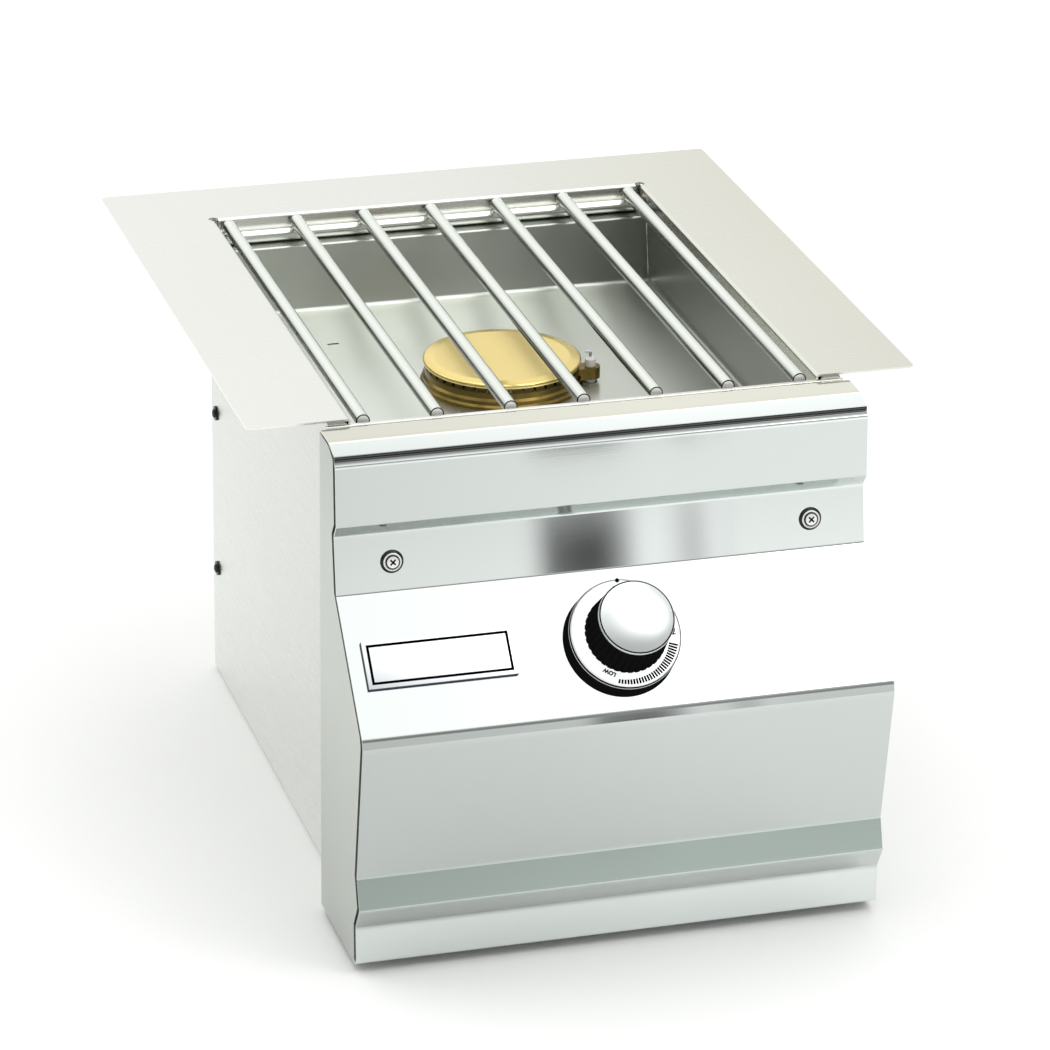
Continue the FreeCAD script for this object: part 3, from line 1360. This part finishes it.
def inlet_fitting():
    """The bulkhead fitting with a male flare outside the back panel."""
    body = new_body("inlet_fitting")
    thread = S.flare_thread / 2
    slab(body, "XY_Plane", "fitting_hex", lambda sketch: hexagon(
        sketch, 0, 0, S.inlet_flats), back_out, back_out + S.inlet_hexagon)
    tip = back_out + S.inlet_hexagon + S.flare_length
    slab(body, "XY_Plane", "fitting_thread", lambda sketch: circle(
        sketch, 0, 0, thread), back_out + S.inlet_hexagon, tip)
    dress(body, "Chamfer", lambda edge, middle: near(middle.z, tip), S.flare_cone)
    slab(body, "XY_Plane", "fitting_shank", lambda sketch: circle(
        sketch, 0, 0, S.inlet_shank), back_in - S.inlet_tail, back_out)
    hole(body, "XY_Plane", "fitting_bore", lambda sketch: circle(sketch, 0, 0, S.pipe_bore / 2))
    at_side(body, -S.pipe_side, S.inlet_drop)


def inlet_locknut():
    """The nut that holds the inlet fitting in the back panel."""
    body = new_body("inlet_locknut")

    def ring(sketch):
        hexagon(sketch, 0, 0, S.locknut_flats)
        circle(sketch, 0, 0, S.inlet_shank)

    slab(body, "XY_Plane", "locknut_ring", ring, back_in - S.inlet_hexagon, back_in)
    at_side(body, -S.pipe_side, S.inlet_drop)


# Knob

def stem_collar():
    """The valve's thrust collar, which slides with the stem and doesn't turn."""
    body = new_body("stem_collar")

    def ring(sketch):
        circle(sketch, 0, 0, S.chamber - S.seat_gap)
        circle(sketch, 0, 0, S.stem / 2 + S.run_gap)

    slab(body, "XY_Plane", "collar_ring", ring, collar_top - S.collar, collar_top)
    at_knob(body)


def valve_stem():
    """The valve's stem, with a flat that drives the knob."""
    body = new_body("valve_stem")
    foot = S.knob_travel + S.stem_gap - S.stem_depth
    end = grip_top - S.crown_recess - S.hub_cap - S.stem_gap
    slab(body, "XY_Plane", "stem_round", lambda sketch: circle(sketch, 0, 0, S.stem / 2), foot, end)
    flat = S.stem / 2 - S.stem_flat
    cut(body, "XY_Plane", "stem_flat_cut", lambda sketch: rectangle(
        sketch, -S.stem, flat, S.stem, S.stem), S.dial_height, end + SPARE)
    at_knob(body)


def knob_body():
    """The black knob: a hollow skirt, a hub on the stem and a fluted grip."""
    body = new_body("knob_body")
    bore = S.stem / 2 + S.run_gap
    skirt = S.skirt_diameter / 2
    ceiling = S.dial_height - S.dial_plate - S.skirt_wall
    seat = S.dial_height - S.dial_plate
    grip = S.grip_diameter / 2
    recess = grip_top - S.crown_recess
    hub_foot = S.knob_gap + S.hub_lift
    turned(body, "knob_profile", [
        (bore, hub_foot), (S.hub, hub_foot), (S.hub, ceiling), (skirt - S.skirt_wall, ceiling),
        (skirt - S.skirt_wall, S.knob_gap), (skirt, S.knob_gap), (skirt, seat), (grip, seat),
        (grip, S.dial_height), (crown_radius, grip_top), (S.crown_plug, grip_top), (S.crown_plug, recess),
        (0, recess), (0, recess - S.hub_cap), (bore, recess - S.hub_cap),
    ])
    flat = S.stem / 2 - S.stem_flat + S.run_gap
    slab(body, "XY_Plane", "bore_flat", lambda sketch: rectangle(
        sketch, -bore, flat, bore, S.hub), S.dial_height, recess - S.hub_cap)
    flute = cut(body, "XY_Plane", "flute", lambda sketch: outline(sketch, [
        (grip + SPARE, -S.flute_width / 2), (grip + SPARE, S.flute_width / 2), (grip, S.flute_width / 2),
        (grip - S.flute_depth, 0), (grip, -S.flute_width / 2),
    ]), S.dial_height + S.flute_lift, grip_top + SPARE)
    axis_sketch = sketch_on(body, "XY_Plane", "flute_axis")
    circle(axis_sketch, 0, 0, 1)
    polar(body, flute, axis_sketch, S.flute_count)
    at_knob(body)


def dial_disc():
    """The dial plate that lies on the skirt round the grip."""
    body = new_body("dial_disc")
    seat = S.dial_height - S.dial_plate
    inner, outer = S.grip_diameter / 2, S.dial_diameter / 2
    turned(body, "dial_profile", [
        (inner, seat), (outer, seat), (outer, S.dial_height - S.dial_bevel),
        (outer - S.dial_bevel, S.dial_height), (inner, S.dial_height),
    ])
    at_knob(body)


def knob_crown():
    """The domed crown, plugged into the grip's top."""
    body = new_body("knob_crown")
    rim = grip_top + S.crown_rim
    turned(body, "crown_profile", [
        (0, grip_top - S.crown_recess), (S.crown_plug, grip_top - S.crown_recess), (S.crown_plug, grip_top),
        (crown_radius, grip_top), (crown_radius, rim),
        (crown_radius - S.crown_slope, rim + S.crown_shoulder),
        (S.crown_flat, rim + S.crown_dome), (0, rim + S.crown_dome),
    ])
    dress(body, "Fillet", lambda edge, middle: middle.z > rim.value + SPARE
          and edge.Length > SPARE, S.crown_round)
    at_knob(body)


def build_parts():
    deck_frame()
    for name, side in (("left", -1), ("right", 1)):
        side_panel("side_panel_" + name, side)
        pan_rail("pan_rail_" + name, side)
        cheek("cheek_" + name, side)
    for make in (back_panel, base_panel, front_wall, burner_pan, front_fascia, fascia_posts, cup_washers,
                 fascia_screws, side_screws, grid_rods, grid_cross_rods, burner_bowl, burner_head,
                 burner_cap, burner_screws, tube_flange, mixer_tube, air_shutter, valve_body,
                 valve_bonnet, valve_screws, orifice_spud, piezo_igniter, electrode_ceramic,
                 electrode_tip, igniter_wire, supply_pipe, pipe_nuts, inlet_fitting, inlet_locknut,
                 stem_collar, valve_stem, knob_body, dial_disc, knob_crown):
        make()


build_parts()
doc.recompute()
failed = [item.Label for item in doc.Objects if {"Invalid", "Error"} & set(item.State)]
if failed:
    raise SystemExit("failed objects: " + ", ".join(failed))
os.makedirs("parts", exist_ok=True)
for feature in parts:
    if feature.Shape.isNull() or not feature.Shape.isValid():
        raise SystemExit("bad shape: " + feature.Label)
for feature in parts:
    feature.Shape.exportStep("parts/%s.step" % feature.Label)
print("wrote", len(parts), "parts")
